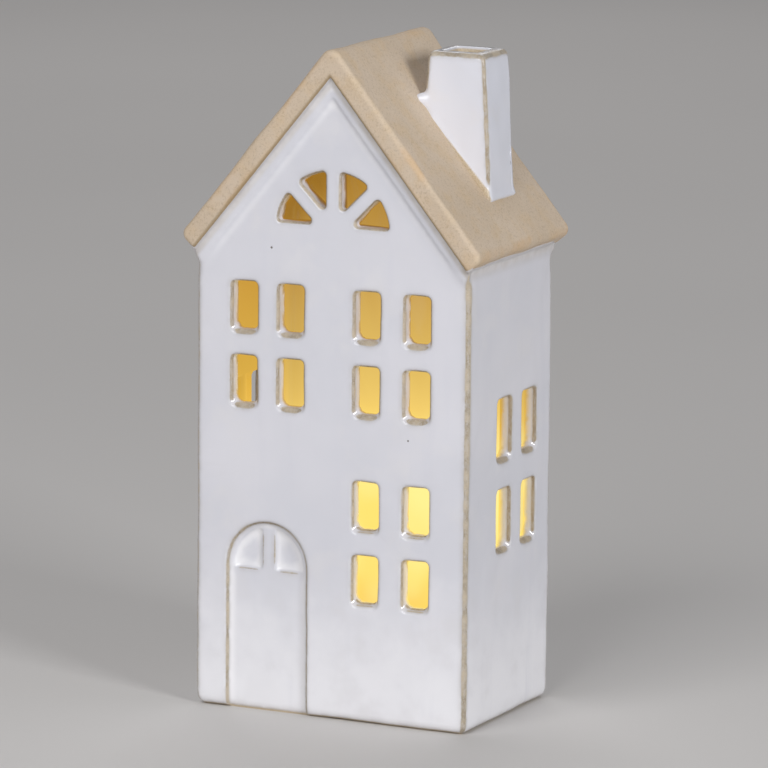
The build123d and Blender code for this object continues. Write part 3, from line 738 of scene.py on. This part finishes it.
def wall_breaks(p, n, edge, hollow, across, upward):
    """Where the glaze breaks to tan on the walls, and where that is darker: painted shade on rim faces turned
    from the light, and the door panes' edges.
    """
    x, y, z = np.abs(p[:, 0]), np.abs(p[:, 1]), p[:, 2]
    front, depth = wall_place(p)
    rake = below_slope(p)
    arris = step(3.4 * MM, 2.2 * MM, np.maximum(HALF_WIDTH - x, HALF_DEPTH - y))
    aligned = np.abs(np.where(front, n[:, 1], n[:, 0]))
    no_eave = 90 * MM * front
    clear = step(5.5 * MM, 7.0 * MM, rake) * (1 - arris) * step(6.5 * MM, 8.5 * MM, EAVE - z + no_eave)
    framed = np.abs(across) < 2
    left, high = across < 0, upward > 0
    reach, climb = np.abs(across), np.abs(upward)

    broad = np.where(z < MID_HEIGHT, 0.1, 0.0)
    rim = step(0.05 + broad, 0.22 + broad, 1 - aligned) * step(1.5 * MM, 1.0 * MM, depth) * clear
    rim *= 1 - 0.85 * step(0.25, 0.7, hollow) * (z > 130 * MM)
    doorway = front & ~framed & (z < DOOR_CLEAR)
    rim *= np.where(doorway, 0.85, 1.0) * np.where(front & (z > FAN_FOOT), 0.85, 1.0)
    taper = step(1.12, 0.95, climb) * step(0.7, 0.9, reach)
    head = step(0.8, 1.0, climb) * high * step(1.1, 0.5, reach + 0.25 * (2 * left - 1))
    foot_line = step(0.75, 0.9, climb) * ~high
    window_rim = rim * np.maximum(taper, 0.75 * head) * (1 - 0.8 * foot_line * step(0.5, 0.9, reach))
    rim = np.where(framed, window_rim, rim)

    lens = 0.75 * np.clip(1 - np.abs(across / 0.98) ** 4, 0, 1)
    low = np.where(front & (z < MID_HEIGHT), 0.5, 1.0)
    bow = lens * low - np.abs(depth - 0.95 * MM) / (1.75 * MM)
    sill = step(0.0, 0.45, bow) * step(0.12, 0.4, n[:, 2])
    sill *= foot_line * framed
    turning = step(0.06, 0.48, np.minimum(np.abs(n[:, 0]), np.abs(n[:, 1])))
    corner = turning * arris * step(0.2 * MM, 1.2 * MM, rake)
    corner *= np.where(p[:, 0] < 0, 0.55, 1.0)
    panes = step(0.15, 0.5, edge) * step(1.3 * MM, 1.6 * MM, depth) * step(3.4 * MM, 3.0 * MM, depth)
    panes *= front * (z < PANES_CLEAR)
    foot = 0.6 * step(1.6 * MM, 0.7 * MM, z) * step(0.1, -0.3, n[:, 2])
    worn = np.maximum.reduce([rim, sill, corner, panes, foot])

    # Painted shade: the rims are darkened to brown on faces that turn left or down on the front, and toward
    # the front or down on the side walls, less on the left jambs and in the doorway; the door panes' edges
    # are darkened too.
    away = np.where(front, np.maximum(-n[:, 0], -n[:, 2]), np.maximum(-n[:, 1], -n[:, 2]))
    dark = rim * step(0.2, 0.6, away) * np.where(front, 1.0, 0.7) * np.where(framed & left, 0.4, 1.0)
    dark = np.maximum(dark * np.where(doorway, 0.6, 1.0), 0.56 * panes)
    return worn, dark


def wall_fields(p, n, ring, across, upward):
    """The fields that the walls' glaze reads, and where the mesh has to stay dense."""
    z = p[:, 2]
    front, depth = wall_place(p)
    rake = below_slope(p)
    framed = np.abs(across) < 2
    edge = np.clip(average(bulge(p, n, ring, detail(9)), ring) / (0.30 * MM), -1, 1)
    hollow = np.clip(-bulge(p, n, ring, detail(34)) / (0.5 * MM), 0, 1)
    worn, dark = wall_breaks(p, n, edge, hollow, across, upward)

    shell = step(3.6 * MM, 2.6 * MM, depth)
    halo = np.clip(1.9 * spread(worn, ring, detail(16)), 0, 1) * shell
    shallow = np.where(framed & ~front, step(2.2 * MM, 1.2 * MM, depth), 1.0)
    halo *= shallow * np.where(front & (z > FAN_FOOT), 0.7, 1.0)
    # A band under the roof: painted shadow cast by the roof's overhang, strongest under the right rake, with
    # thinner glaze beside the seam.
    front_shadow_and_thin_glaze = step(2.9 * MM, 1.5 * MM, rake) * np.where(p[:, 0] > 0, 1.0, 0.75)
    side_shadow_and_thin_glaze = step(3.2 * MM, 0.2 * MM, rake) * 0.8
    roof_shadow_and_thin_glaze = np.where(front, front_shadow_and_thin_glaze, side_shadow_and_thin_glaze) * shell
    bare = step(0.9 * MM, 0.4 * MM, z) * step(0.3, -0.2, n[:, 2])
    hollow = np.clip(1.3 * spread(hollow, ring, detail(8)), 0, 1)
    inner = np.where(framed & ~front, 3.2 * MM, WALL - 0.5 * MM)
    room = step(inner, inner + 0.45 * MM, depth) * step(8.0 * MM, 8.8 * MM, z)

    keep = step(0.01, 0.08, spread(halo + hollow + roof_shadow_and_thin_glaze, ring, detail(14))) * (0.2 + 0.8 * shell)
    aligned = np.abs(np.where(front, n[:, 1], n[:, 0]))
    keep = np.maximum(keep, 0.9 * framed * step(0.95, 0.8, aligned))
    fields = {"worn": worn, "dark": dark, "halo": halo, "hollow": hollow, "roof_shadow_and_thin_glaze": roof_shadow_and_thin_glaze, "bare": bare,
              "room": room}
    return fields, keep


def uneven_walls(p, n, outer):
    """Gives the glaze its waves, and tucks the foot of the walls in."""
    x, y, z = np.abs(p[:, 0]), np.abs(p[:, 1]), p[:, 2]
    uneven = 0.12 * waves(p, 17 * MM, 3) + 0.05 * waves(p, 5.5 * MM, 4)
    p = p + (uneven * outer * MM)[:, None] * n
    wide = 0.5 * np.clip(1 - z / (7 * MM), 0, 1) ** 2
    tight = 1.1 * np.clip(1 - z / (3.4 * MM), 0, 1) ** 2
    tuck = (wide + tight) * MM * outer
    p[:, 0] -= np.sign(p[:, 0]) * tuck * step(-3 * MM, -1 * MM, x - HALF_WIDTH)
    p[:, 1] -= np.sign(p[:, 1]) * tuck * step(-3 * MM, -1 * MM, y - HALF_DEPTH)
    p[:, 2] = np.maximum(p[:, 2], 0)
    return p


def make_walls():
    """The walls as one soft casting under a thick glaze."""
    obj = solid_copy("house_walls", "glazed_walls")
    add_blocks(obj, lip_slabs())
    to_voxels(obj, VOXEL)
    mesh = obj.data
    ring = neighbours(mesh)
    p = relax(positions(mesh), ring, detail(8))
    place(mesh, p)
    p, outer, across, upward = soften_walls(mesh, p, ring)
    n = normals(mesh)
    fields, keep = wall_fields(p, n, ring, across, upward)
    place(mesh, uneven_walls(p, n, outer))
    thin_out(obj, keep, WALL_TRIANGLES, fields)
    stands_for(obj, "house_walls", glaze_material("white_glaze", True, WALL_PINHOLES))


def make_roof():
    """The roof as a bare stoneware slab with soft edges."""
    obj = solid_copy("roof", "stoneware_roof")
    to_voxels(obj, VOXEL)
    mesh = obj.data
    ring = neighbours(mesh)
    p = relax(positions(mesh), ring, detail(8))
    place(mesh, p)
    n = normals(mesh)
    edge = np.clip(average(bulge(p, n, ring, detail(20)), ring) / (0.45 * MM), -1, 1)
    x = np.abs(p[:, 0])
    above = above_slope(p, APEX_IN)
    beyond = (x - HALF_WIDTH) * DOWN[0] + (p[:, 2] - EAVE) * DOWN[1]
    showing = np.maximum(np.abs(p[:, 1]) - LIP_DEPTH, beyond + 0.4 * MM)
    seam = step(1.2 * MM, 0.3 * MM, above) * step(-0.4 * MM, 0.2 * MM, showing)
    indoors = np.stack([ROOM[0] - x, ROOM[1] - np.abs(p[:, 1])], 1)
    room = step(0.6 * MM, 0.2 * MM, above) * step(-0.3 * MM, 0.2 * MM, indoors.min(1))
    uneven = 0.14 * waves(p, 15 * MM, 7) + 0.04 * waves(p, 4.5 * MM, 8)
    p = p + (uneven * step(0.3 * MM, 1.5 * MM, above) * MM)[:, None] * n
    place(mesh, p)
    keep = step(0.1, 0.4, np.abs(edge)) * step(-0.5 * MM, 0.5 * MM, above)
    # Painted shade on the roof's underside near the walls inside the house.
    corner_shade = step(14.0 * MM, 1.0 * MM, indoors.min(1))
    fields = {"edge": edge, "seam": seam, "room": room, "corner_shade": corner_shade}
    thin_out(obj, keep, ROOF_TRIANGLES, fields)
    stands_for(obj, "roof", stoneware_material())


def add_bead(obj):
    """Adds the glaze bead at the chimney's uphill front corner; gives its place."""
    corner = (CHIMNEY[0] - CHIMNEY_HALF[0] - 0.9 * MM, CHIMNEY[1] - CHIMNEY_HALF[1] - 0.9 * MM)
    on_slope = APEX_OUT - corner[0] * math.tan(PITCH)
    bead = Matrix.Translation((corner[0], corner[1], on_slope)) @ slope_turn(1)
    lumps = [((-0.9, 1.2, 0.4), (2.5, 2.3, 2.1)), ((-0.2, 2.2, 1.1), (1.8, 1.8, 2.7))]
    balls = []
    for spot, size in lumps:
        scale = Matrix.Diagonal((*(Vector(size) * MM), 1.0))
        balls.append(bead @ Matrix.Translation(Vector(spot) * MM) @ scale)
    add_blocks(obj, balls, True)
    return np.array(bead.translation)


def chimney_breaks(n, above, offset, drop, lump):
    """Where the chimney's glaze breaks to tan, where that is dark, and where the clay is bare."""
    reach = np.abs(offset / np.array(CHIMNEY_HALF)).max(1)
    outer = step(0.75, 0.95, reach)
    upright = step(0.25, 0.55, np.minimum(np.abs(n[:, 0]), np.abs(n[:, 1]))) * step(0.8, 0.5, n[:, 2])
    upright *= step(1.8 * MM, 4.0 * MM, above) * step(4.0 * MM, 5.5 * MM, lump)
    crown = step(0.05, 0.5, n[:, 2]) * step(0.995, 0.9, n[:, 2]) * step(3.2 * MM, 2.0 * MM, drop)
    worn = np.maximum(upright, crown) * outer
    worn = np.maximum(worn, 0.55 * step(0.8, 0.95, n[:, 2]) * step(1.0 * MM, 0.5 * MM, drop))
    dark = upright * step(0.1, 0.6, -n[:, 1]) * step(0.3, 0.5, n[:, 0]) * 0.4
    bare = step(0.64, 0.58, reach) * step(0.3 * MM, 0.9 * MM, drop)
    downward = np.clip(0.5 + offset[:, 0] / (2.2 * CHIMNEY_HALF[0]), 0, 1)
    strip = step(0.25 * MM, 0.0, above - 1.7 * MM * downward ** 2) * step(-0.5, -0.8, n[:, 1])
    bare = np.maximum(bare, strip * step(-0.3, 0.1, offset[:, 0] / CHIMNEY_HALF[0]))
    return worn, dark, bare


def shape_chimney(p, above, offset, drop):
    """Leans and tapers the chimney, spreads its foot, widens its mouth and sinks its seat into the roof."""
    reach = np.abs(offset / np.array(CHIMNEY_HALF)).max(1)
    outer = step(0.75, 0.95, reach)
    face = step(0.55, 0.98, np.abs(offset) / np.array(CHIMNEY_HALF)) * outer[:, None]
    uphill = face[:, 0] * (offset[:, 0] < 0)
    downhill = face[:, 0] * (offset[:, 0] > 0)
    foot = 0.7 * np.clip(1 - above / (2.6 * MM), 0, 1.2) ** 2
    lean = drop / (46 * MM)
    narrower = 4.2 * lean * face[:, 1] * (offset[:, 1] > 0)
    p[:, 1] += (0.9 * (1 - lean) - narrower) * MM * np.where(reach > 0.62, 1, 0)
    wider = downhill * 1.9 * lean * MM
    p[:, 0] += wider + (1.0 * downhill - 1.5 * uphill) * foot * MM
    p[:, 2] -= wider * math.tan(PITCH) * step(14.0 * MM, 2.0 * MM, above)
    p[:, 1] += np.where(offset[:, 1] > 0, 1.0, -0.4) * face[:, 1] * foot * MM
    mouth = 1.1 * np.clip(1 - drop / (2.6 * MM), 0, 1) ** 2 * step(0.72, 0.6, reach)
    p[:, :2] += offset / np.abs(offset).max(1)[:, None] * (mouth * MM)[:, None]
    sink = step(0.35 * MM, 0.0, above) * 1.2 * MM
    p[:, 0] -= sink * OUT[0]
    p[:, 2] -= sink * OUT[1]
    return p


def make_chimney():
    """The chimney under its glaze, with a soft top and a bead of glaze at its foot."""
    obj = solid_copy("chimney", "glazed_chimney")
    bead = add_bead(obj)
    to_voxels(obj, VOXEL * 0.9)
    mesh = obj.data
    ring = neighbours(mesh)
    p = relax(positions(mesh), ring, detail(8))
    top = p[:, 2].max()
    spot = np.abs((p[:, :2] - np.array(CHIMNEY)) / np.array(CHIMNEY_HALF)).max(1)
    p = melt(p, ring, detail(24), 0.8 * step(5.0 * MM, 1.0 * MM, top - p[:, 2]) * step(0.66, 0.8, spot))
    lump = np.linalg.norm(p - bead, axis=1)
    p = melt(p, ring, detail(18), step(6.0 * MM, 3.5 * MM, lump))
    place(mesh, p)

    above, offset, drop = above_slope(p, APEX_OUT), p[:, :2] - np.array(CHIMNEY), top - p[:, 2]
    outer = step(0.75, 0.95, np.abs(offset / np.array(CHIMNEY_HALF)).max(1))
    worn, dark, bare = chimney_breaks(normals(mesh), above, offset, drop, lump)
    halo = np.clip(1.6 * spread(worn, ring, detail(12)), 0, 1) * outer
    p = shape_chimney(p, above, offset, drop)
    place(mesh, p)
    p = pool(mesh, p, ring, detail(10), outer * step(6.0 * MM, 4.5 * MM, above))
    n = normals(mesh)
    hollow = np.clip(-bulge(p, n, ring, detail(34)) / (0.5 * MM), 0, 1) * outer
    uneven = 0.12 * waves(p, 10 * MM, 14) + 0.04 * waves(p, 4 * MM, 15)
    p = p + (uneven * outer * MM)[:, None] * n
    place(mesh, p)
    keep = step(0.03, 0.25, halo + hollow + step(6.0 * MM, 4.0 * MM, above))
    fields = {"worn": worn, "dark": dark, "halo": halo, "hollow": hollow, "roof_shadow_and_thin_glaze": np.zeros(len(p)),
              "bare": bare}
    thin_out(obj, keep, CHIMNEY_TRIANGLES, fields)
    stands_for(obj, "chimney", glaze_material("chimney_glaze", False, CHIMNEY_PINHOLES))


make_walls()
make_roof()
make_chimney()

# Materials for the pieces of the light module, which keep their CAD shapes
PLASTIC = plastic_material("module_plastic", "d9d6cf", "e6e3dc", 0.5)
STEEL = metal_material("plated_steel", "8f8f8c", "c9c9c6", 0.3)
LOOKS = {
    "module_base": PLASTIC,
    "module_housing": PLASTIC,
    "battery_door": plastic_material("door_plastic", "d3d0c8", "e2dfd7", 0.46, 0.45),
    "module_gasket": foam_material(),
    "module_screws": STEEL,
    "battery_door_screw": STEEL,
    "contact_plates": metal_material("contact_steel", "a8a59c", "d6d4cc", 0.26),
    "contact_springs": STEEL,
    "led_leads": metal_material("tinned_wire", "9a9a9a", "cfcfcf", 0.34),
    "positive_wire": plastic_material("red_insulation", "8f1512", "b5221c", 0.36, 0.5, 0.015),
    "negative_wire": plastic_material("black_insulation", "151516", "2a2a2b", 0.36, 0.5, 0.015),
    "circuit_board": board_material(),
    "board_components": plastic_material("component_black", "1c1c1e", "313133", 0.55, 0.35, 0.02),
    "slide_switch_body": plastic_material("switch_case", "202022", "353537", 0.5, 0.35, 0.02),
    "switch_knob": plastic_material("knob_plastic", "1d1d1e", "343435", 0.42, 0.4, 0.02),
    "led": lens_material(),
    "battery_front": cell_material(),
    "battery_rear": cell_material(),
}
for node, material in LOOKS.items():
    slots = nodes[node].data.materials
    slots.clear()
    slots.append(material)


# Floor, light and camera

def make_floor():
    mesh = bpy.data.meshes.new("floor")
    bm = bmesh.new()
    bmesh.ops.create_circle(bm, cap_ends=True, radius=6.0, segments=96)
    bm.to_mesh(mesh)
    bm.free()
    obj = bpy.data.objects.new("floor", mesh)
    scene.collection.objects.link(obj)
    s = Shader("pale_floor")
    cloud = s.noise(700, 2)
    tone = s.mix(s.span(cloud, 0.3, 0.7), linear("d4d1ce"), linear("d7d4d1"))
    s.set(Base_Color=tone, Roughness=s.span(cloud, 0.3, 0.7, 0.55, 0.65))
    s.surface.inputs["Specular IOR Level"].default_value = 0.2
    mesh.materials.append(s.material)


def softbox(name, azimuth, rise, distance, size, power, colour):
    """A square area light, placed by its direction as seen from the house, that faces the house."""
    a, e = math.radians(azimuth), math.radians(rise)
    way = Vector((math.sin(a) * math.cos(e), -math.cos(a) * math.cos(e), math.sin(e)))
    light = bpy.data.lights.new(name, "AREA")
    light.shape = "SQUARE"
    light.size = size
    light.energy = power
    light.color = colour
    obj = bpy.data.objects.new(name, light)
    obj.location = LIGHT_AIM + way * distance
    obj.rotation_mode = "QUATERNION"
    obj.rotation_quaternion = way.to_track_quat("Z", "Y")
    obj.visible_camera = False
    scene.collection.objects.link(obj)


def make_light():
    world = bpy.data.worlds.new("studio")
    world.use_nodes = True
    background = world.node_tree.nodes["Background"]
    background.inputs["Color"].default_value = (0.94, 0.94, 0.97, 1.0)
    background.inputs["Strength"].default_value = 0.17
    scene.world = world
    softbox("key", 64.0, 18.0, 1.8, 0.5, 15.8, (0.965, 0.978, 1.0))
    softbox("front", -4.0, 34.0, 1.9, 1.2, 17.6, (0.98, 0.985, 1.0))
    softbox("back", 205.0, 38.0, 2.3, 1.4, 10.0, (0.99, 0.99, 1.0))
    scene.view_settings.view_transform = "Standard"


def make_camera():
    azimuth, rise, roll = [math.radians(angle) for angle in CAMERA_ANGLES]
    right = Vector((math.cos(azimuth), math.sin(azimuth), 0.0))
    level = math.cos(rise)
    back = Vector((math.sin(azimuth) * level, -math.cos(azimuth) * level, math.sin(rise)))
    up = back.cross(right)
    across = right * math.cos(roll) + up * math.sin(roll)
    upright = up * math.cos(roll) - right * math.sin(roll)
    data = bpy.data.cameras.new("camera")
    data.sensor_width = SENSOR
    data.lens = FOCAL_PIXELS / PHOTO_PIXELS * SENSOR
    data.clip_start, data.clip_end = 0.1, 50.0
    camera = bpy.data.objects.new("camera", data)
    scene.collection.objects.link(camera)
    eye = right * AIM_RIGHT + Vector((0.0, 0.0, AIM_HEIGHT)) + back * CAMERA_DISTANCE
    turn = Matrix((across, upright, back)).transposed().to_4x4()
    camera.matrix_world = Matrix.Translation(eye) @ turn
    scene.camera = camera


make_floor()
make_light()
make_camera()
